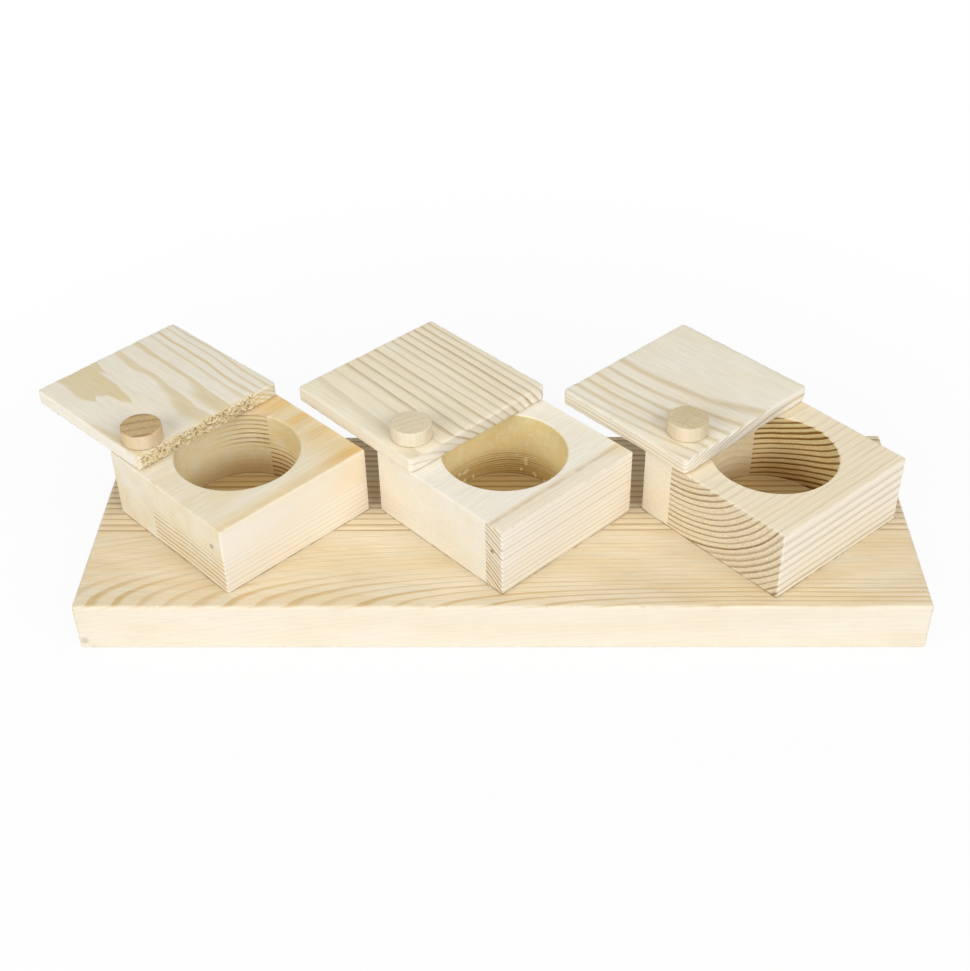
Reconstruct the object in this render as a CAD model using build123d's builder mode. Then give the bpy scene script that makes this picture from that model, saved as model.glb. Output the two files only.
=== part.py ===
# Wooden food puzzle for a small pet: three square blocks on a flat base, each with a round
# pocket under a lid that turns on a peg. Millimetres, +Z up, +X along the row, +Y to the back.
# The origin is the middle of the base's underside. The lids stand open.

import os
from math import cos, radians, sin, sqrt

from build123d import *

# Base, glued up from two staves that run along its length
base_length = 300.0
base_width = 100.0
base_thickness = 20.0
base_front_stave = 41.0  # from the front edge to the glue line
base_ease = 1.2

# Blocks, set on their corners in a row
block_side = 66.0
block_height = 28.0
block_gap = 4.2  # between the corners of neighbouring blocks
row_shift = 1.5  # middle of the row from the middle of the base
block_ease = 0.7
pocket_wall = 10.0  # thinnest, between the pocket and the block's faces
pocket_ease = 0.5
seam_wall = 1.8  # between the middle block's pocket and its glue line
seam_bite = 3.5  # how far the right block's pocket reaches past its glue line

pocket_radius = block_side / 2 - pocket_wall

# Lids, cut to the block's side plus a trim that differs from lid to lid
lid_thickness = 6.0
lid_corner = 1.6
lid_ease = 0.6
lid_gap = 0.2  # under the lid, so that it turns freely

# Turned pegs that the lids swing on
peg_head_diameter = 15.0
peg_head_height = 5.7
peg_head_ease = 0.6
peg_shank_diameter = 8.0
peg_grip = 20.0  # length of shank glued into the block
peg_play = 0.3  # between the lid and the head
lid_bore_clearance = 0.25  # round the shank

# Dowels that locate the blocks on the base
dowel_diameter = 8.0
dowel_length = 24.0
dowel_ease = 0.8
dowel_inset = 9.5  # from both faces of the block's corner
glue_clearance = 0.05  # round pegs and dowels
bore_spare = 0.5  # past the end of a peg or dowel

# What differs from block to block. The row runs left, middle, right.
# setback: block's middle from the base's middle, towards the back
# turn: degrees off a true diagonal
# seam: glue line between the block's two staves, from the block's middle to the back left
# peg_inset: peg from the block's front left and back left faces
# lid_trim: lid's length and width over the block's side
# lid_inset: peg from the lid's end and side at the pegged corner
# swing: degrees from closed to the open place
units = {
    "left": {
        "setback": 3.4, "turn": 0.6, "seam": 9.5, "peg_inset": (9.1, 9.5),
        "lid_trim": (-2.1, -1.7), "lid_inset": (8.5, 8.4), "swing": 92.0,
    },
    "middle": {
        "setback": 2.9, "turn": -0.9, "seam": -pocket_radius - seam_wall, "peg_inset": (9.8, 8.8),
        "lid_trim": (-1.0, 1.6), "lid_inset": (11.1, 10.5), "swing": 90.0,
    },
    "right": {
        "setback": 0.8, "turn": -3.7, "seam": pocket_radius - seam_bite, "peg_inset": (13.0, 8.0),
        "lid_trim": (-4.3, 2.0), "lid_inset": (12.3, 14.2), "swing": 92.0,
    },
}

# Places that follow from the sizes above
block_pitch = block_side * sqrt(2) + block_gap
block_top = base_thickness + block_height
lid_bottom = block_top + lid_gap
head_bottom = lid_bottom + lid_thickness + peg_play
dowel_depth = dowel_length / 2 + bore_spare
dowel_bore_radius = dowel_diameter / 2 + glue_clearance
peg_bore_radius = peg_shank_diameter / 2 + glue_clearance
grain_angle = 45.0  # the blocks' grain runs to the back right


def level_plane(origin, angle):
    return Plane(origin=origin, x_dir=(cos(radians(angle)), sin(radians(angle)), 0), z_dir=(0, 0, 1))


# Each block's own plane lies on the base: X along the grain, Y to the back left
for column, unit in enumerate(units.values()):
    middle = (row_shift + (column - 1) * block_pitch, unit["setback"], base_thickness)
    front_inset, back_inset = unit["peg_inset"]
    unit["plane"] = level_plane(middle, grain_angle + unit["turn"])
    unit["peg"] = (front_inset - block_side / 2, block_side / 2 - back_inset)
    unit["peg_axis"] = unit["plane"].from_local_coords((*unit["peg"], 0))

# Two dowels a block, at the front and back corners, either side of the pocket
dowel_reach = block_side / 2 - dowel_inset
dowel_corners = {"front": (-dowel_reach, -dowel_reach), "back": (dowel_reach, dowel_reach)}

os.makedirs("parts", exist_ok=True)


def keep(part, name):
    part.label = name
    export_step(part, f"parts/{name}.step")


# Base board: eased all round, drilled for the dowels, then parted at the glue line
with BuildPart() as base:
    with BuildSketch():
        Rectangle(base_length, base_width)
    extrude(amount=base_thickness)
    fillet(base.edges(), radius=base_ease)
    for unit in units.values():
        for corner in dowel_corners.values():
            foot = unit["plane"].from_local_coords((*corner, 0))
            with Locations(foot):
                Hole(radius=dowel_bore_radius, depth=dowel_depth)

base_glue_line = Plane(origin=(0, base_front_stave - base_width / 2, 0), z_dir=(0, 1, 0))
for name, side in {"base_back_stave": Keep.TOP, "base_front_stave": Keep.BOTTOM}.items():
    with BuildPart() as stave:
        add(base.part)
        split(bisect_by=base_glue_line, keep=side)
    keep(stave.part, name)

for place, unit in units.items():
    # Block: food pocket right through, blind bores for the peg and the dowels
    with BuildPart(unit["plane"]) as block:
        with BuildSketch(unit["plane"]):
            Rectangle(block_side, block_side)
        extrude(amount=block_height)
        foot_edges = block.edges().group_by(Axis.Z)[0]
        fillet(block.edges() - foot_edges, radius=block_ease)
        with Locations((0, 0, block_height)):
            Hole(radius=pocket_radius)
        rims = block.edges().filter_by(lambda edge: edge.geom_type == GeomType.CIRCLE)
        pocket_rims = rims.filter_by(lambda edge: abs(edge.radius - pocket_radius) < 0.001)
        chamfer(pocket_rims.sort_by(Axis.Z)[-1], length=pocket_ease)
        with Locations((*unit["peg"], block_height)):
            Hole(radius=peg_bore_radius, depth=peg_grip + bore_spare)
        for corner in dowel_corners.values():
            with Locations(Location((*corner, 0), (180, 0, 0))):
                Hole(radius=dowel_bore_radius, depth=dowel_depth)

    seam = unit["plane"].from_local_coords((0, unit["seam"], 0))
    glue_line = Plane(origin=seam, z_dir=unit["plane"].y_dir)
    for name, side in {"block_back_stave": Keep.TOP, "block_front_stave": Keep.BOTTOM}.items():
        with BuildPart() as stave:
            add(block.part)
            split(bisect_by=glue_line, keep=side)
        keep(stave.part, f"{place}_{name}")

    # Dowels stand half in the base and half in the block
    for corner_name, corner in dowel_corners.items():
        foot = unit["plane"].from_local_coords((*corner, -dowel_length / 2))
        with BuildPart() as dowel:
            with BuildSketch(Plane(origin=foot)):
                Circle(dowel_diameter / 2)
            extrude(amount=dowel_length)
            chamfer(dowel.edges().filter_by(GeomType.CIRCLE), length=dowel_ease)
        keep(dowel.part, f"{place}_{corner_name}_dowel")

    # Lid: its plane is centred on the peg and already swung open
    peg_x, peg_y = unit["peg_axis"].X, unit["peg_axis"].Y
    lid_plane = level_plane((peg_x, peg_y, lid_bottom), grain_angle + unit["turn"] + unit["swing"])
    lid_length, lid_width = (block_side + trim for trim in unit["lid_trim"])
    end_inset, side_inset = unit["lid_inset"]
    lid_middle = (lid_length / 2 - end_inset, side_inset - lid_width / 2)
    with BuildPart() as lid:
        with BuildSketch(lid_plane):
            with Locations(lid_middle):
                RectangleRounded(lid_length, lid_width, lid_corner)
        extrude(amount=lid_thickness)
        flat_edges = lid.edges().group_by(Axis.Z)
        fillet(flat_edges[0] + flat_edges[-1], radius=lid_ease)
        with BuildSketch(lid_plane):
            Circle(peg_shank_diameter / 2 + lid_bore_clearance)
        extrude(amount=lid_thickness, mode=Mode.SUBTRACT)
    keep(lid.part, f"{place}_lid")

    # Peg: shank from the bottom of its bore to the lid, under a round head
    with BuildPart() as peg:
        with BuildSketch(Plane(origin=(peg_x, peg_y, block_top - peg_grip))):
            Circle(peg_shank_diameter / 2)
        extrude(amount=head_bottom - block_top + peg_grip)
        with BuildSketch(Plane(origin=(peg_x, peg_y, head_bottom))):
            Circle(peg_head_diameter / 2)
        extrude(amount=peg_head_height)
        fillet(peg.edges().group_by(Axis.Z)[-1], radius=peg_head_ease)
        chamfer(peg.edges().group_by(Axis.Z)[0], length=peg_head_ease)
    keep(peg.part, f"{place}_peg")
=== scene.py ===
from math import radians

import bmesh
import bpy
from mathutils import Matrix, Vector, noise


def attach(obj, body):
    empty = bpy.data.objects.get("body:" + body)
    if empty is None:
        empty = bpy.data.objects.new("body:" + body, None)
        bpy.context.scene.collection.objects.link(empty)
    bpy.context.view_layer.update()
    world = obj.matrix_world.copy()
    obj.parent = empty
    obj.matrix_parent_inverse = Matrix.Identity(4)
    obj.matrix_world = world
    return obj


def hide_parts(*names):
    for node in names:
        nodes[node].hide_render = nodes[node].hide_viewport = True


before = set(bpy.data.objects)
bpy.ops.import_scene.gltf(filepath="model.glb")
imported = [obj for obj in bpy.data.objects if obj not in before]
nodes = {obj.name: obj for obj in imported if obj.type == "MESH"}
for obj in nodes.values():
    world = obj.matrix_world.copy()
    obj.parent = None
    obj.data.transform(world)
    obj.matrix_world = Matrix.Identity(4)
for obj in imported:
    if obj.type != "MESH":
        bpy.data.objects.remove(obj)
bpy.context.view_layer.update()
scene = bpy.context.scene
scene.view_settings.view_transform = "Standard"
mm = 0.001


def screen(red, green, blue):  # a colour as picked on screen, 0 to 255
    return tuple(((c / 255 + 0.055) / 1.055) ** 2.4 for c in (red, green, blue)) + (1.0,)


def feed(tree, socket, value):  # joins a socket, or sets a plain value
    if isinstance(value, bpy.types.NodeSocket):
        tree.links.new(value, socket)
    else:
        socket.default_value = value


def calc(tree, operation, *values, clamp=False):
    node = tree.nodes.new("ShaderNodeMath")
    node.operation = operation
    node.use_clamp = clamp
    for socket, value in zip(node.inputs, values):
        feed(tree, socket, value)
    return node.outputs[0]


def times(tree, first, second):
    return calc(tree, "MULTIPLY", first, second)


def timesPlus(tree, first, second, added):
    return calc(tree, "MULTIPLY_ADD", first, second, added)


def split(tree, vector):
    node = tree.nodes.new("ShaderNodeSeparateXYZ")
    feed(tree, node.inputs[0], vector)
    return node.outputs[0], node.outputs[1], node.outputs[2]


def joined(tree, x, y, z):
    node = tree.nodes.new("ShaderNodeCombineXYZ")
    for socket, value in zip(node.inputs, (x, y, z)):
        feed(tree, socket, value)
    return node.outputs[0]


def distance(tree, vector, spot):
    node = tree.nodes.new("ShaderNodeVectorMath")
    node.operation = "DISTANCE"
    feed(tree, node.inputs[0], vector)
    feed(tree, node.inputs[1], spot)
    return node.outputs["Value"]


def fade(tree, value, low, high, start=0.0, end=1.0):  # smooth step between two values
    node = tree.nodes.new("ShaderNodeMapRange")
    node.interpolation_type = "SMOOTHSTEP"
    for socket, item in zip(node.inputs, (value, low, high, start, end)):
        feed(tree, socket, item)
    return node.outputs[0]


def cloud(tree, vector, scale, detail, rough):
    node = tree.nodes.new("ShaderNodeTexNoise")
    feed(tree, node.inputs["Vector"], vector)
    for label, value in (("Scale", scale), ("Detail", detail), ("Roughness", rough)):
        node.inputs[label].default_value = value
    return node.outputs[0]


def tint(tree, factor, first, second, kind="MIX"):
    node = tree.nodes.new("ShaderNodeMix")
    node.data_type = "RGBA"
    node.blend_type = kind
    for index, value in zip((0, 6, 7), (factor, first, second)):  # the colour sockets of a mix node
        feed(tree, node.inputs[index], value)
    return node.outputs[2]


def startGroup(name, inputs, outputs):
    tree = bpy.data.node_groups.new(name, "ShaderNodeTree")
    for side, sockets in (("INPUT", inputs), ("OUTPUT", outputs)):
        for label, kind in sockets.items():
            tree.interface.new_socket(label, in_out=side, socket_type="NodeSocket" + kind)
    return tree, tree.nodes.new("NodeGroupInput").outputs, tree.nodes.new("NodeGroupOutput").inputs


# Pine: a log with growth rings, the marks of drilling and wear, and painted shade and highlights
grainValues = (
    "Ring", "Shift", "Crowd", "Crowd From", "Bow", "Bow From", "Wander", "Curl", "Wave", "Band", "Ramp", "Edge",
    "Contrast", "Flat Share", "Side Share", "End Share", "Mottle", "Bleach", "End Bleach", "End Tone", "Seed",
)
grainColors = ("Pale", "Warm", "Late")
grainNoise = {  # stretch along the grain, scale per millimetre, detail, roughness
    "wander": (0.3, 0.045, 2.0, 0.5), "curl": (1.0, 0.05, 1.0, 0.5), "wave": (0.13, 0.24, 1.0, 0.5),
    "fibre": (0.035, 2.1, 3.0, 0.6), "streak": (0.02, 0.42, 3.0, 0.55),
    "mottle": (0.35, 0.07, 3.0, 0.55), "pore": (0.6, 2.6, 2.0, 0.6),
}
yearSpread = {"width": (0.7, 0.65), "tone": (0.5, 0.5), "streak": (0.7, 0.65)}  # range and least
grainLook = {
    "seedStep": 37.3, "endGrain": (0.36, 0.72),
    "warmth": (0.5, 0.95), "warmStreak": 0.45,
    "fibre": (0.3, 0.6, 0.85, 0.965), "fibreStreak": 0.12,
    "pores": (0.62, 0.36, 0.05, 0.3), "poreGreen": 1.15, "poreBlue": 1.4,
    "rough": 0.5, "roughEnd": 0.12, "roughFibre": 0.16, "roughLate": -0.1,
    "ridgeLate": 0.5, "ridgeFibre": 0.35, "ridgePore": 0.5,
}
marks = {
    "planed": screen(250, 245, 234), "tanned": screen(248, 226, 182), "speck": screen(126, 98, 62),
    # the first two colours on the next line are painted shade, for the pocket floors and the low pocket walls
    "food": screen(230, 218, 187), "depthShade": screen(219, 205, 186), "sawdust": screen(250, 236, 198),
    # the first colour on the next line is painted contact shadow at the foot of a block
    "joint": screen(140, 112, 72), "tornFibre": screen(236, 212, 154), "tornPit": screen(140, 104, 56),
    # the first colour on the next line is rubbed wear and a painted highlight along edges
    "rubbed": screen(250, 243, 226), "bruised": screen(186, 152, 104),
}
patches = {  # noise scale per metre, detail, roughness, the range read from it and what that becomes
    "tan": (130.0, 2.0, 0.5, 0.35, 0.6, 0.35, 1.0), "streak": (160.0, 2.0, 0.5, 0.35, 0.6, 0.3, 1.0),
    "fleck": (380.0, 0.0, 0.5, 0.69, 0.76), "joint": (220.0, 2.0, 0.5, 0.3, 0.6, 0.45, 1.0),
    "rubbed": (120.0, 3.0, 0.6, 0.4, 0.62), "bruised": (330.0, 2.0, 0.5, 0.62, 0.72),
}


def patchy(tree, vector, kind):
    scale, detail, rough, *span = patches[kind]
    return fade(tree, cloud(tree, vector, scale, detail, rough), *span)


def buildPineGrain():  # growth rings round a pith, cut by whatever face the piece has
    inputs = {"Place": "Vector", "Facing": "Vector"}
    inputs.update(dict.fromkeys(grainValues, "Float"))
    inputs.update(dict.fromkeys(grainColors, "Color"))
    outputs = {"Color": "Color", "Roughness": "Float", "Height": "Float"}
    tree, given, made = startGroup("pineGrain", inputs, outputs)
    x, y, z = (times(tree, axis, 1.0 / mm) for axis in split(tree, given["Place"]))
    offset = times(tree, given["Seed"], grainLook["seedStep"])

    def grainCloud(kind):  # noise drawn out along the grain
        stretch, *settings = grainNoise[kind]
        drawn = joined(tree, timesPlus(tree, x, stretch, offset), calc(tree, "ADD", y, offset), z)
        return cloud(tree, drawn, *settings)

    fromBow = calc(tree, "SUBTRACT", x, given["Bow From"])
    depth = timesPlus(tree, times(tree, fromBow, fromBow), given["Bow"], z)
    radius = calc(tree, "SQRT", timesPlus(tree, depth, depth, times(tree, y, y)))
    for kind in ("wander", "curl", "wave"):  # rings are never quite round
        radius = timesPlus(tree, calc(tree, "SUBTRACT", grainCloud(kind), 0.5), given[kind.capitalize()], radius)
    count = calc(tree, "ADD", calc(tree, "DIVIDE", radius, given["Ring"]), given["Shift"])
    outer = calc(tree, "MAXIMUM", calc(tree, "SUBTRACT", radius, given["Crowd From"]), 0.0)
    count = timesPlus(tree, outer, given["Crowd"], count)  # narrower rings further out
    within = calc(tree, "FRACT", count)
    chance = tree.nodes.new("ShaderNodeTexWhiteNoise")  # each year differs
    chance.noise_dimensions = "1D"
    feed(tree, chance.inputs["W"], calc(tree, "ADD", calc(tree, "FLOOR", count), offset))
    yearWidth, yearTone, _ = split(tree, chance.outputs["Color"])
    fibre, streak, mottle, pore = (grainCloud(kind) for kind in ("fibre", "streak", "mottle", "pore"))

    darkPart = times(tree, given["Band"], timesPlus(tree, yearWidth, *yearSpread["width"]))
    start = calc(tree, "SUBTRACT", given["Edge"], darkPart)
    full = timesPlus(tree, darkPart, given["Ramp"], start)
    late = times(tree, fade(tree, within, start, full), fade(tree, within, given["Edge"], 1.0, 1.0, 0.0))
    for source, kind in ((yearTone, "tone"), (streak, "streak")):
        late = times(tree, late, timesPlus(tree, source, *yearSpread[kind]))

    ends, sides, flats = (times(tree, axis, axis) for axis in split(tree, given["Facing"]))
    endGrain = fade(tree, ends, *grainLook["endGrain"])
    share = times(tree, flats, given["Flat Share"])  # rings show differently on each face
    share = timesPlus(tree, sides, given["Side Share"], share)
    share = timesPlus(tree, ends, given["End Share"], share)
    late = times(tree, late, share)

    warmth = fade(tree, timesPlus(tree, streak, grainLook["warmStreak"], mottle), *grainLook["warmth"])
    warmth = calc(tree, "MULTIPLY", warmth, given["Mottle"], clamp=True)
    color = tint(tree, warmth, given["Pale"], given["Warm"])
    speck = timesPlus(tree, streak, grainLook["fibreStreak"], fade(tree, fibre, *grainLook["fibre"]))
    speck = joined(tree, speck, speck, speck)
    color = tint(tree, 1.0, color, speck, "MULTIPLY")
    planed = timesPlus(tree, ends, given["End Bleach"], times(tree, sides, given["Bleach"]))
    color = tint(tree, planed, color, marks["planed"])  # cut faces are paler than the top
    lateTone = tint(tree, 1.0, given["Late"], speck, "MULTIPLY")
    color = tint(tree, calc(tree, "MULTIPLY", late, given["Contrast"], clamp=True), color, lateTone)
    endShade = times(tree, times(tree, endGrain, given["End Tone"]), fade(tree, pore, *grainLook["pores"]))
    dim = calc(tree, "SUBTRACT", 1.0, endShade)
    green, blue = (calc(tree, "POWER", dim, grainLook[key]) for key in ("poreGreen", "poreBlue"))
    feed(tree, made["Color"], tint(tree, 1.0, color, joined(tree, dim, green, blue), "MULTIPLY"))

    rough = timesPlus(tree, endGrain, grainLook["roughEnd"], grainLook["rough"])
    rough = timesPlus(tree, fibre, grainLook["roughFibre"], rough)
    feed(tree, made["Roughness"], timesPlus(tree, late, grainLook["roughLate"], rough))
    ridge = timesPlus(tree, late, grainLook["ridgeLate"], times(tree, fibre, grainLook["ridgeFibre"]))
    feed(tree, made["Height"], timesPlus(tree, times(tree, pore, endGrain), grainLook["ridgePore"], ridge))
    return tree


# rubbed edges are wear and a painted highlight; bruised edges are dents
arris = {"reach": 1.8, "core": 0.15, "rubbed": 0.3, "bruised": 0.22, "dent": -1.0}


def buildArrisWearAndHighlight():  # rubbed edges with a painted highlight, and bruised edges, of a square board, from its two corners
    tree, given, made = startGroup("arrisWearAndHighlight", {"Place": "Vector", "Low": "Vector", "High": "Vector", "Reach": "Float"},
                                   {"Rubbed": "Float", "Bruised": "Float"})
    inside = []  # distance to the nearer of each pair of faces
    for place, low, high in zip(*(split(tree, given[label]) for label in ("Place", "Low", "High"))):
        fromLow, fromHigh = calc(tree, "SUBTRACT", place, low), calc(tree, "SUBTRACT", high, place)
        inside.append(calc(tree, "MINIMUM", fromLow, fromHigh))
    nearer = calc(tree, "MINIMUM", inside[0], inside[1])
    further = calc(tree, "MAXIMUM", inside[0], inside[1])
    edge = calc(tree, "MAXIMUM", nearer, calc(tree, "MINIMUM", further, inside[2]))  # to the second nearest face
    near = fade(tree, calc(tree, "DIVIDE", edge, given["Reach"]), arris["core"], 1.0, 1.0, 0.0)
    for label in ("Rubbed", "Bruised"):
        feed(tree, made[label], times(tree, near, patchy(tree, given["Place"], label.lower())))
    return tree


pineGrain = buildPineGrain()
arrisWearAndHighlight = buildArrisWearAndHighlight()
print("shared groups:", len(pineGrain.nodes), "and", len(arrisWearAndHighlight.nodes), "nodes")

pineDefaults = {
    "turn": 0.0, "tip": 0.0, "pith": (0.0, -100.0), "ring": 2.5, "shift": 0.0, "crowd": 0.0, "crowdFrom": 0.0,
    "bow": 0.0, "bowFrom": 0.0, "wander": 1.0, "curl": 0.2, "wave": 0.25, "band": 0.5, "ramp": 0.95, "edge": 0.955,
    "contrast": 0.7, "flatShare": 1.0, "sideShare": 1.0, "endShare": 1.0, "mottle": 0.5, "bleach": 0.3,
    "endBleach": 0.0, "endTone": 0.25, "seed": 1.0,
    "pale": (247, 236, 212), "warm": (243, 225, 190), "late": (201, 163, 108),
    "calm": (), "thin": (), "plainEnd": (), "tans": (), "specks": (), "shadedFloors": (), "streaks": (),
    "bore": None, "boreRings": 0.7, "flecks": 0.0, "torn": False, "board": None,
}
pineFinish = {"specular": 0.3, "relief": 0.00016, "bump": 0.8}
tanLook = {"stretch": 0.12, "top": 0.65, "sides": 0.35}
speckCore = 0.3  # share of a speck that is fully dark
# in a pocket, painted shade covers the disc of its floor and darkens its wall from 13 mm down to 0.5 mm
pocket = {"wall": (23.03, 23.25), "floor": (22.4, 23.0), "depthShade": (13.0, 0.5), "ridge": 0.8,
          "chatter": (260.0, 3.0, 0.6), "wallTint": (0.25, 0.75)}
# painted contact shadow: height band and darkness at a block's foot, weaker on the pocket wall
footShadowBand = {"height": (0.25, 0.8), "dark": 0.85, "wallLoss": -0.5}
tornLook = {"fibre": (0.02, 0.3, 0.0, 0.6), "pit": (0.5, 0.95, 0.0, 0.75)}


def settingKey(label):  # "Crowd From" is set by crowdFrom
    return label[0].lower() + label[1:].replace(" ", "")


def pineMaterial(name, settings):
    pine = {**pineDefaults, **settings}
    material = bpy.data.materials.new(name)
    material.use_nodes = True
    tree = material.node_tree
    shader = tree.nodes["Principled BSDF"]
    shader.inputs["Specular IOR Level"].default_value = pineFinish["specular"]
    where = tree.nodes.new("ShaderNodeTexCoord")
    turned = Matrix.Rotation(radians(pine["turn"]), 4, "Z") @ Matrix.Rotation(radians(pine["tip"]), 4, "Y")
    pith = Vector((0.0, *pine["pith"]))  # the log's axes start here
    mapped = {}
    for source, start in (("Object", Vector(pine["at"]) + turned @ pith), ("Normal", Vector())):
        node = tree.nodes.new("ShaderNodeMapping")
        node.vector_type = "TEXTURE"
        node.inputs["Location"].default_value = start * mm
        node.inputs["Rotation"].default_value = turned.to_euler()
        tree.links.new(where.outputs[source], node.inputs["Vector"])
        mapped[source] = node.outputs[0]
    place, facing = mapped["Object"], mapped["Normal"]
    axes = split(tree, place)
    upward = calc(tree, "MAXIMUM", split(tree, facing)[2], 0.0)

    def along(axis, low, high, start, end):  # smooth change along one of the log's axes
        return fade(tree, axes[axis], (low - pith[axis]) * mm, (high - pith[axis]) * mm, start, end)

    def lessened(key, changes):  # a setting that falls from low to high
        value = pine[key]
        for axis, low, high, least in pine[changes]:
            value = times(tree, along(axis, low, high, 1.0, least), value)
        return value

    def disc(spot, inner, outer):  # 1 inside a round pocket, 0 outside
        apart = distance(tree, joined(tree, axes[0], axes[1], 0.0), Vector((spot[0], spot[1] - pith.y, 0.0)) * mm)
        return fade(tree, apart, inner * mm, outer * mm, 1.0, 0.0)

    grain = tree.nodes.new("ShaderNodeGroup")
    grain.node_tree = pineGrain
    feed(tree, grain.inputs["Place"], place)
    feed(tree, grain.inputs["Facing"], facing)
    for label in grainValues:
        grain.inputs[label].default_value = pine[settingKey(label)]
    for label in grainColors:
        grain.inputs[label].default_value = screen(*pine[settingKey(label)])
    contrast = lessened("contrast", "calm")
    if pine["bore"]:
        wall = disc((0.0, 0.0), *pocket["wall"])
        contrast = times(tree, timesPlus(tree, wall, pine["boreRings"], 1.0), contrast)
    feed(tree, grain.inputs["Contrast"], contrast)
    feed(tree, grain.inputs["Band"], lessened("band", "thin"))
    feed(tree, grain.inputs["End Share"], lessened("endShare", "plainEnd"))
    color, height = grain.outputs["Color"], grain.outputs["Height"]

    for axis, low, high, most in pine["tans"]:  # wood that warms from low to high, most of all on the top
        flow = joined(tree, times(tree, axes[0], tanLook["stretch"]), axes[1], axes[2])
        tan = times(tree, along(axis, low, high, 0.0, most), timesPlus(tree, upward, tanLook["top"], tanLook["sides"]))
        color = tint(tree, times(tree, tan, patchy(tree, flow, "tan")), color, marks["tanned"], "MULTIPLY")
    for spot, size, dark in pine["specks"]:  # pitch specks and dents
        apart = distance(tree, place, (Vector(spot) - pith) * mm)
        color = tint(tree, fade(tree, apart, size * speckCore * mm, size * mm, dark, 0.0), color, marks["speck"])
    for spot in pine["shadedFloors"]:  # painted shade on the round pocket bottoms
        floorShadeMask = times(tree, upward, disc(spot, *pocket["floor"]))
        color = tint(tree, floorShadeMask, color, marks["food"], "MULTIPLY")
    for middle, width, dark in pine["streaks"]:  # a brown line along the top
        apart = calc(tree, "ABSOLUTE", calc(tree, "SUBTRACT", axes[1], (middle - pith.y) * mm))
        line = times(tree, patchy(tree, place, "streak"), fade(tree, apart, 0.0, width * mm, dark, 0.0))
        color = tint(tree, times(tree, upward, line), color, screen(*pine["late"]))
    if pine["bore"]:  # the drilled wall is burnished, darkened towards the bottom by painted shade, with bits of sawdust
        chatter = cloud(tree, place, *pocket["chatter"])
        wallTint = tint(tree, fade(tree, chatter, *pocket["wallTint"]), *(screen(*tone) for tone in pine["bore"]))
        # painted shade: the wall darkens towards the bottom of the pocket
        wallTint = tint(tree, along(2, *pocket["depthShade"], 0.0, 1.0), wallTint, marks["depthShade"], "MULTIPLY")
        color = tint(tree, wall, color, wallTint, "MULTIPLY")
        fleck = times(tree, patchy(tree, place, "fleck"), pine["flecks"])
        color = tint(tree, times(tree, wall, fleck), color, marks["sawdust"])
        height = timesPlus(tree, times(tree, chatter, wall), pocket["ridge"], height)
        # painted contact shadow: a dark band at the foot of each block, half as strong on the pocket wall
        joint = times(tree, patchy(tree, place, "joint"), timesPlus(tree, wall, footShadowBand["wallLoss"], 1.0))
        joint = times(tree, joint, along(2, *footShadowBand["height"], footShadowBand["dark"], 0.0))
        color = tint(tree, joint, color, marks["joint"])  # painted contact shadow along the foot of a block
    if pine["torn"]:  # pale where the end is torn shallow, darker where it is torn deepest
        pits = tree.nodes.new("ShaderNodeAttribute")
        pits.attribute_name = "pits"
        color = tint(tree, fade(tree, pits.outputs["Fac"], *tornLook["fibre"]), color, marks["tornFibre"])
        color = tint(tree, fade(tree, pits.outputs["Fac"], *tornLook["pit"]), color, marks["tornPit"])
    if pine["board"]:
        edgeMarks = tree.nodes.new("ShaderNodeGroup")
        edgeMarks.node_tree = arrisWearAndHighlight
        feed(tree, edgeMarks.inputs["Place"], place)
        for label, corner in zip(("Low", "High"), pine["board"]):
            edgeMarks.inputs[label].default_value = (Vector(corner) - pith) * mm
        edgeMarks.inputs["Reach"].default_value = arris["reach"] * mm
        # the rubbed colour is wear and a painted highlight on the eased edges; the bruised colour and dents are wear
        for label in ("Rubbed", "Bruised"):
            kind = label.lower()
            color = tint(tree, times(tree, edgeMarks.outputs[label], arris[kind]), color, marks[kind])
        height = timesPlus(tree, edgeMarks.outputs["Bruised"], arris["dent"], height)
    feed(tree, shader.inputs["Base Color"], color)
    feed(tree, shader.inputs["Roughness"], grain.outputs["Roughness"])
    bump = tree.nodes.new("ShaderNodeBump")
    bump.inputs["Distance"].default_value = pineFinish["relief"]
    bump.inputs["Strength"].default_value = pineFinish["bump"]
    feed(tree, bump.inputs["Height"], height)
    feed(tree, shader.inputs["Normal"], bump.outputs["Normal"])
    return material


def dress(node, material):
    mesh = nodes[node].data
    mesh.materials.clear()
    mesh.materials.append(material)


# Base: two staves side by side, grain along the row. Spots are the middles of the blocks
blockSpots = {"left": (-96.04, 3.4), "middle": (1.5, 2.9), "right": (99.04, 0.8)}
baseBoard = ((-150.0, -50.0, 0.0), (150.0, 50.0, 20.0))
baseStaves = {
    "base_back_stave": {
        "pith": (-80.0, 5.0), "ring": 3.2, "band": 0.48, "contrast": 0.95, "wander": 0.8, "seed": 2.0,
        "sideShare": 0.2, "pale": (241, 226, 195), "warm": (234, 211, 170), "late": (172, 132, 82)},
    "base_front_stave": {
        "pith": (-51.0, 21.5), "ring": 2.2, "bow": 0.00042, "bowFrom": 150.0, "band": 0.4, "ramp": 0.6,
        "contrast": 0.76, "thin": ((0, -80.0, 0.0, 0.75),), "calm": ((1, -43.0, -30.0, 0.24),), "wander": 0.9,
        "seed": 3.0, "sideShare": 0.08, "bleach": 0.45, "specks": (((-148.0, -50.0, 4.0), 2.2, 0.3),), "mottle": 0.9,
        "pale": (237, 224, 197), "warm": (231, 209, 169), "late": (208, 173, 113)},
}
for node, pine in baseStaves.items():
    settings = {"at": (0.0, 0.0, 0.0), "board": baseBoard, "shadedFloors": blockSpots.values(), **pine}
    dress(node, pineMaterial(node + "_pine", settings))

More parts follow.
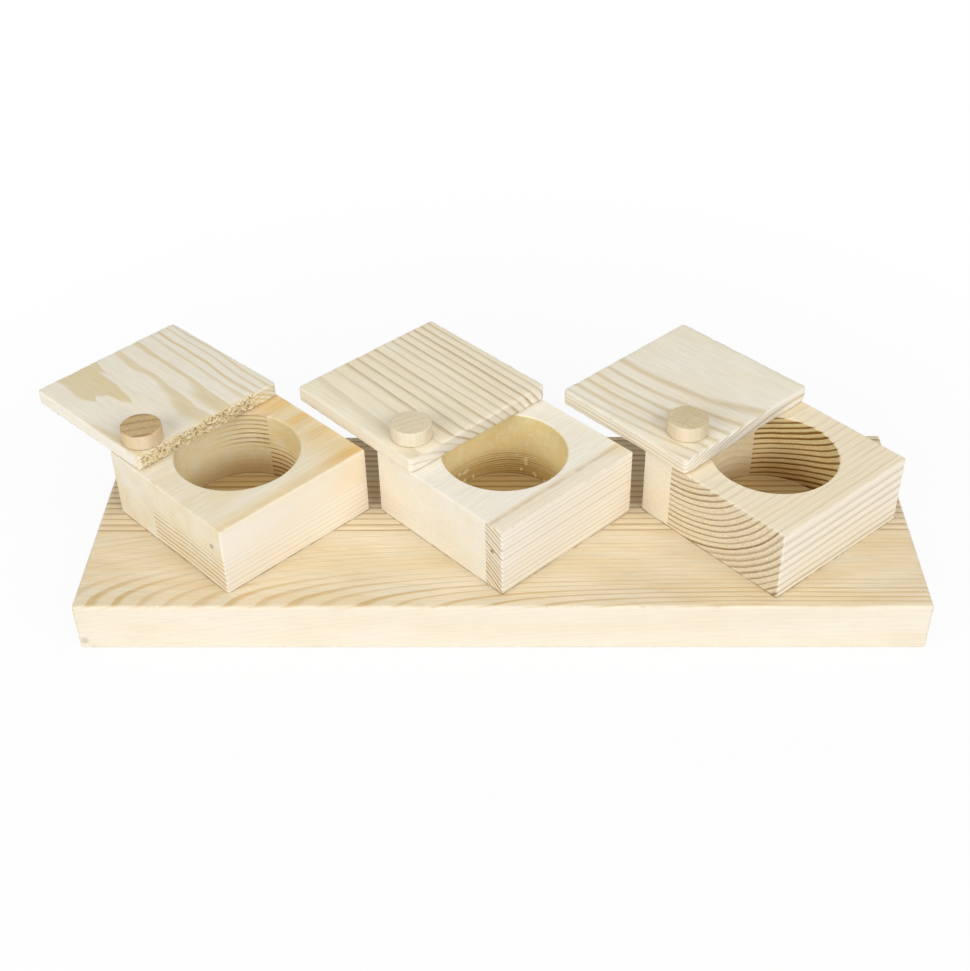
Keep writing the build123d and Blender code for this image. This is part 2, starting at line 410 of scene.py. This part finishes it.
# Blocks: each glued from two staves of different boards
blockBoard = ((-33.0, -33.0, 0.0), (33.0, 33.0, 28.0))
baseTop = baseBoard[1][2]
blockPines = {
    "left": {
        "turn": 45.6, "bore": ((255, 248, 218), (255, 255, 246)),
        "front": {
            "pith": (-2.0, -400.0), "ring": 2.1, "contrast": 1.0, "flatShare": 0.4, "sideShare": 0.24, "band": 0.45,
            "seed": 4.0, "wander": 1.9, "calm": ((2, 12.5, 16.0, 0.08),), "boreRings": 0.9,
            "tans": ((0, 8.0, 28.0, 1.0), (1, -24.0, -33.0, 0.5)), "bleach": 0.85, "endTone": 0.05,
            "specks": (((-33.0, -27.0, 18.5), 1.4, 0.6),), "mottle": 0.8,
            "pale": (246, 237, 214), "warm": (238, 220, 180), "late": (172, 132, 92)},
        "back": {
            "pith": (-2.0, -400.0), "ring": 2.1, "contrast": 1.0, "flatShare": 0.3, "sideShare": 0.28, "band": 0.45,
            "seed": 4.0, "wander": 1.9, "calm": ((0, 14.0, 3.0, 0.02), (2, 16.0, 11.0, 0.08)),
            "tans": ((0, 8.0, 28.0, 1.0),), "endTone": 0.1, "mottle": 0.8,
            "pale": (246, 239, 221), "warm": (238, 220, 184), "late": (172, 132, 92)},
    },
    "middle": {
        "turn": 44.1, "bore": ((255, 239, 188), (255, 250, 214)),
        "front": {
            "pith": (10.0, -56.0), "ring": 1.75, "contrast": 1.0, "flatShare": 0.08, "sideShare": 0.35, "band": 0.55,
            "seed": 6.0, "tans": ((0, 18.0, 42.0, 0.7),), "bleach": 0.6, "specks": (((-33.0, -28.0, 17.0), 1.2, 0.8),),
            "streaks": ((-26.6, 1.5, 0.34),), "pale": (246, 237, 216), "late": (160, 126, 84)},
        "back": {
            "pith": (-10.0, -300.0), "ring": 1.08, "contrast": 0.5, "flatShare": 0.1, "sideShare": 0.14,
            "endShare": 0.6, "plainEnd": ((1, 24.0, 0.0, 0.25),), "boreRings": 6.0, "calm": ((2, 8.0, 13.0, 0.05),),
            "flecks": 0.8, "wander": 1.8, "curl": 1.0, "endTone": 0.12, "seed": 7.0,
            "pale": (249, 243, 228), "warm": (246, 234, 208), "late": (172, 136, 92)},
    },
    "right": {
        "turn": 41.3, "bore": ((253, 239, 196), (255, 252, 224)),
        "front": {
            "pith": (20.0, 57.5), "ring": 2.3, "shift": 0.55, "contrast": 1.0, "flatShare": 0.2, "sideShare": 0.46,
            "band": 0.5, "seed": 8.0, "bleach": 0.55, "endTone": 0.7, "boreRings": 2.0,
            "pale": (248, 235, 206), "late": (150, 112, 64)},
        "back": {
            "pith": (70.0, -60.0), "ring": 2.6, "contrast": 0.15, "endShare": 0.4, "boreRings": 1.0, "seed": 9.0,
            "bore": ((255, 246, 222), (255, 252, 238)), "endTone": 0.05, "pale": (246, 238, 220)},
    },
}
for place, pine in blockPines.items():
    shared = {"at": (*blockSpots[place], baseTop), "turn": pine["turn"], "bore": pine["bore"], "board": blockBoard}
    for side in ("front", "back"):
        node = f"{place}_block_{side}_stave"
        dress(node, pineMaterial(node + "_pine", {**shared, **pine[side]}))

# Lids: thin boards that swing on the pegs. Sizes in millimetres from the peg's axis, X along the grain
pegSpots = {"left": (-129.55, 2.766), "middle": (-32.002, 4.133), "right": (67.513, 6.382)}
lidBottom = 48.2
lids = {
    "left": {"size": (63.9, 64.3), "inset": (8.5, 8.4), "tornTo": 48.0, "seed": 3.7, "pine": {
        "turn": 137.6, "pith": (-8.5, -64.0), "ring": 2.66, "shift": -0.09, "crowd": 0.18, "crowdFrom": 80.0,
        "bow": 0.00004, "bowFrom": 250.0, "contrast": 0.62, "band": 0.86, "ramp": 0.5,
        "thin": ((1, -29.0, -35.0, 0.5), (0, 2.0, 24.0, 0.72)), "seed": 10.0, "wander": 0.5, "curl": 1.1, "wave": 0.9,
        "sideShare": 0.12, "bleach": 0.5, "torn": True,
        "pale": (246, 239, 222), "warm": (245, 233, 204), "late": (214, 190, 122)}},
    "middle": {"size": (65.0, 67.6), "inset": (11.1, 10.5), "tornTo": None, "seed": 5.1, "pine": {
        "turn": 134.1, "pith": (17.6, -42.6), "ring": 2.97, "shift": 0.5, "bow": 0.00012, "bowFrom": 110.0,
        "contrast": 0.78, "calm": ((1, -18.0, 2.0, 0.5),), "sideShare": 0.2, "endShare": 1.1, "endBleach": 0.7,
        "endTone": 0.02, "band": 0.4, "seed": 11.0, "wander": 0.6, "wave": 0.45, "bleach": 0.5,
        "pale": (248, 239, 212), "late": (180, 154, 104)}},
    "right": {"size": (61.7, 68.0), "inset": (12.3, 14.2), "tornTo": None, "seed": 8.3, "pine": {
        "turn": 133.3, "pith": (-45.0, -147.0), "ring": -4.0, "shift": -0.24, "crowd": -0.395, "crowdFrom": 155.2,
        "bow": 0.00058, "bowFrom": 42.0, "contrast": 0.55, "endShare": 1.1, "endBleach": 0.9, "endTone": 0.02,
        "band": 0.42, "edge": 0.74, "seed": 12.0, "wander": 0.4, "wave": 0.2, "thin": ((0, 4.0, 22.0, 0.8),),
        "pale": (246, 240, 222), "late": (202, 177, 118)}},
}
lidBoard = {"thick": 6.0, "corner": 1.6, "ease": 0.6, "bore": 4.25, "drill": 20.0, "step": 2.0, "layer": 1.0,
            "crease": 38.0}
lidWear = {"deep": 0.22, "arris": 1.2, "skin": 1.3, "least": 0.35, "coarse": 0.35, "fine": 1.3, "fineShare": 0.5}
tornEnd = {"step": 0.36, "rows": (0.3, 0.8, 1.4), "reach": 2.2, "deep": 1.1, "ends": 8.0, "least": 0.42, "coarse": 1.0,
           "coarseShare": 0.8, "fine": 2.2, "fineShare": 0.7, "rim": 0.8, "topDrop": 0.5, "bottomLift": 0.3}


def finishPiece(name, shape, toPlace, material):
    bmesh.ops.transform(shape, matrix=toPlace, verts=shape.verts)
    mesh = bpy.data.meshes.new(name)
    shape.to_mesh(mesh)
    shape.free()
    mesh.materials.append(material)
    piece = bpy.data.objects.new(name, mesh)
    scene.collection.objects.link(piece)
    return piece


def boredMesh(piece, radius, depth, where):  # a copy with a round hole right through
    bit = bmesh.new()
    bmesh.ops.create_cone(bit, cap_ends=True, segments=48, radius1=radius, radius2=radius, depth=depth)
    bit = finishPiece("bit", bit, Matrix.Translation(where), None)
    cut = piece.modifiers.new("bore", "BOOLEAN")
    cut.object = bit
    cut.operation = "DIFFERENCE"
    cut.solver = "EXACT"
    mesh = bpy.data.meshes.new_from_object(piece.evaluated_get(bpy.context.evaluated_depsgraph_get()))
    bpy.data.objects.remove(bit)
    return mesh


def lidBlank(low, high):  # eased board with the peg's hole
    shape = bmesh.new()
    bmesh.ops.create_cube(shape, size=1.0)
    bmesh.ops.scale(shape, vec=high - low, verts=shape.verts)
    bmesh.ops.translate(shape, vec=(low + high) / 2, verts=shape.verts)
    for upright, offset, segments in ((True, lidBoard["corner"], 4), (False, lidBoard["ease"], 3)):
        edges = [edge for edge in shape.edges if (abs(edge.verts[0].co.z - edge.verts[1].co.z) > 1.0) == upright]
        bmesh.ops.bevel(shape, geom=edges, offset=offset, segments=segments, profile=0.5, affect="EDGES", material=-1)
    blank = finishPiece("blank", shape, Matrix(), None)
    bored = boredMesh(blank, lidBoard["bore"], lidBoard["drill"], (0.0, 0.0, high.z / 2))
    bpy.data.objects.remove(blank)
    shape = bmesh.new()
    shape.from_mesh(bored)
    return shape


def slices(low, high, step):  # evenly spaced cuts between two faces
    count = max(1, round((high - low) / step))
    return [low + (high - low) * index / count for index in range(1, count)]


def sliceUp(shape, low, high, torn):  # enough vertices for wear, and more of them on a torn end
    cuts = [(0, slices(low.x, high.x, lidBoard["step"])), (2, slices(low.z, high.z, lidBoard["layer"]))]
    if torn:
        cuts += [(0, [low.x + row for row in tornEnd["rows"]])]
        cuts += [(axis, slices(low[axis], high[axis], tornEnd["step"])) for axis in (1, 2)]
    else:
        cuts += [(1, slices(low.y, high.y, lidBoard["step"]))]
    for axis, places in cuts:
        across = Vector([float(axis == index) for index in range(3)])
        for place in places:
            everything = shape.verts[:] + shape.edges[:] + shape.faces[:]
            bmesh.ops.bisect_plane(shape, geom=everything, dist=0.0001, plane_co=across * place, plane_no=across)


def wearDown(shape, lid, low, high):
    pits = shape.verts.layers.float.new("pits")
    shift = Vector((lid["seed"] * 31.0, lid["seed"] * 17.0, 0.0))  # each lid has its own noise
    centre = (low + high) / 2
    torn = lid["tornTo"]

    def bumps(spot, scale):
        return noise.noise((spot + shift) * scale)

    for vert in shape.verts:
        spot = vert.co.copy()
        inside = [min(spot[axis] - low[axis], high[axis] - spot[axis]) for axis in range(3)]
        edge = 1.0 - min(1.0, sorted(inside)[1] / lidWear["arris"])  # nearness to the closest edge
        uneven = lidWear["least"] + bumps(spot, lidWear["coarse"]) + lidWear["fineShare"] * bumps(spot, lidWear["fine"])
        worn = lidWear["deep"] * edge * max(0.0, uneven)
        for axis in range(3):
            if inside[axis] < lidWear["skin"]:
                vert.co[axis] += worn * (1.0 if spot[axis] < centre[axis] else -1.0)
        fromEnd = spot.x - low.x
        if torn and fromEnd < tornEnd["reach"]:
            rough = min(1.0, max(0.0, (torn + spot.y) / tornEnd["ends"] + 0.5))  # a plain rest at the far corner
            deep = tornEnd["least"] + tornEnd["coarseShare"] * bumps(spot, tornEnd["coarse"])
            deep += tornEnd["fineShare"] * bumps(spot, tornEnd["fine"])
            deep = rough * min(1.0, max(0.0, deep)) * max(0.0, 1.0 - fromEnd / tornEnd["reach"])
            vert.co.x += tornEnd["deep"] * deep
            if spot.z > high.z - tornEnd["rim"]:
                vert.co.z -= tornEnd["topDrop"] * deep
            if spot.z < tornEnd["rim"]:
                vert.co.z += tornEnd["bottomLift"] * deep
            vert[pits] = deep


def makeLid(name, lid):
    length, width = lid["size"]
    endInset, sideInset = lid["inset"]
    low = Vector((-endInset, sideInset - width, 0.0))
    high = Vector((length - endInset, sideInset, lidBoard["thick"]))
    shape = lidBlank(low, high)
    sliceUp(shape, low, high, lid["tornTo"])
    wearDown(shape, lid, low, high)
    for face in shape.faces:
        face.smooth = True
    bmesh.ops.recalc_face_normals(shape, faces=shape.faces)
    pine = {"at": (*pegSpots[name], lidBottom), "board": (low, high), **lid["pine"]}
    turned = Matrix.Rotation(radians(pine["turn"]), 4, "Z")
    toPlace = Matrix.Translation(Vector(pine["at"]) * mm) @ turned @ Matrix.Scale(mm, 4)
    piece = finishPiece(f"{name}_lid_board", shape, toPlace, pineMaterial(f"{name}_lid_pine", pine))
    piece.data.set_sharp_from_angle(angle=radians(lidBoard["crease"]))
    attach(piece, f"{name}_lid")
    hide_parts(f"{name}_lid")
    print(piece.name, len(piece.data.polygons), "faces")


for name, lid in lids.items():
    makeLid(name, lid)

# Pegs and dowels: turned rods, grain upright
rodHeight = 54.0  # where the grain of the rods is measured from
pegPines = {
    "left": {"pith": (-60.0, 6.0), "pale": (222, 194, 146), "warm": (210, 178, 128), "late": (150, 112, 74),
             "ring": 4.2, "curl": 2.2, "endTone": 0.9, "turn": 20.0},
    "middle": {"pith": (-60.0, -30.0), "contrast": 0.15, "ring": 2.6, "pale": (231, 218, 188)},
    "right": {"pith": (-60.0, 40.0), "pale": (217, 199, 161), "contrast": 0.4, "ring": 1.7},
}
rodPine = {"tip": -90.0, "seed": 13.0, "flatShare": 0.12, "sideShare": 0.08, "wander": 0.4, "wave": 0.1}
for place, pine in pegPines.items():
    material = pineMaterial(f"{place}_peg_pine", {"at": (*pegSpots[place], rodHeight), **rodPine, **pine})
    for rod in ("peg", "front_dowel", "back_dowel"):
        dress(f"{place}_{rod}", material)
print("pine on every node")

# Floor: plain white that the camera sees as paper white, with a trace of shadow
paper = {"half": 4.0, "drop": 0.0003, "grey": (0.92, 0.92, 0.92, 1.0), "glow": 1.0, "shadow": (0.12, 0.35, 0.92, 1.0)}
floorMesh = bpy.data.meshes.new("floor")
shape = bmesh.new()
bmesh.ops.create_grid(shape, x_segments=2, y_segments=2, size=paper["half"])
shape.to_mesh(floorMesh)
shape.free()
floor = bpy.data.objects.new("floor", floorMesh)
floor.location.z = -paper["drop"]
scene.collection.objects.link(floor)


def seenDirectly(tree):  # camera, mirror and glass rays see plain paper white
    path = tree.nodes.new("ShaderNodeLightPath")
    rays = calc(tree, "ADD", path.outputs["Is Camera Ray"], path.outputs["Is Glossy Ray"])
    return calc(tree, "ADD", rays, path.outputs["Is Transmission Ray"], clamp=True)


floorPaper = bpy.data.materials.new("floorPaper")
floorPaper.use_nodes = True
tree = floorPaper.node_tree
tree.nodes.clear()
matte = tree.nodes.new("ShaderNodeBsdfDiffuse")
matte.inputs["Color"].default_value = paper["grey"]
glow = tree.nodes.new("ShaderNodeEmission")
glow.inputs["Strength"].default_value = paper["glow"]
mixed = tree.nodes.new("ShaderNodeMixShader")
output = tree.nodes.new("ShaderNodeOutputMaterial")
spread = distance(tree, tree.nodes.new("ShaderNodeTexCoord").outputs["Object"], (0.0, 0.0, 0.0))
paperWhite = fade(tree, spread, *paper["shadow"])  # the shadow shows near the toy only
feed(tree, mixed.inputs[0], times(tree, seenDirectly(tree), paperWhite))
tree.links.new(matte.outputs[0], mixed.inputs[1])
tree.links.new(glow.outputs[0], mixed.inputs[2])
tree.links.new(mixed.outputs[0], output.inputs["Surface"])
floorMesh.materials.append(floorPaper)

# Light: big soft lamps in front on the right and left, weak ones above and behind, and an even white room
roomLight = 0.25
lamps = {
    "keyLight": {"place": (0.77, -0.85, 0.75), "aim": (0.0, 0.0, 0.03), "size": (0.9, 0.7), "watts": 8.9},
    "fillLight": {"place": (-0.74, -0.76, 0.6), "aim": (0.0, 0.0, 0.03), "size": (0.8, 0.6), "watts": 6.5},
    "topLight": {"place": (0.0, -0.02, 0.6), "aim": (0.0, 0.03, 0.03), "size": (0.6, 0.35), "watts": 0.6},
    "backLight": {"place": (0.15, 1.1, 0.5), "aim": (0.0, 0.0, 0.03), "size": (0.9, 0.5), "watts": 1.2},
}
world = bpy.data.worlds.new("room")
scene.world = world
world.use_nodes = True
tree = world.node_tree
back = tree.nodes["Background"]
back.inputs["Color"].default_value = (1.0, 1.0, 1.0, 1.0)
feed(tree, back.inputs["Strength"], timesPlus(tree, seenDirectly(tree), 1.0 - roomLight, roomLight))


def softbox(name, place, aim, size, watts):
    lamp = bpy.data.lights.new(name, "AREA")
    lamp.shape = "RECTANGLE"
    lamp.size, lamp.size_y = size
    lamp.energy = watts
    holder = bpy.data.objects.new(name, lamp)
    holder.location = place
    holder.rotation_euler = (Vector(aim) - Vector(place)).to_track_quat("-Z", "Y").to_euler()
    scene.collection.objects.link(holder)


for name, lamp in lamps.items():
    softbox(name, **lamp)

# Camera at the photograph's place
view = {"place": (0.005716, -0.42909, 0.37262), "lens": 55.138, "sensor": 36.0,
        "right": (0.999776, 0.014882, -0.015051), "up": (0.002603, 0.619215, 0.785217)}
cameraData = bpy.data.cameras.new("camera")
cameraData.lens = view["lens"]
cameraData.sensor_width = view["sensor"]
camera = bpy.data.objects.new("camera", cameraData)
right, up = Vector(view["right"]).normalized(), Vector(view["up"]).normalized()
turned = Matrix((right, up, right.cross(up))).transposed().to_4x4()
camera.matrix_world = Matrix.Translation(view["place"]) @ turned
scene.collection.objects.link(camera)
scene.camera = camera
print("light, floor and camera set")
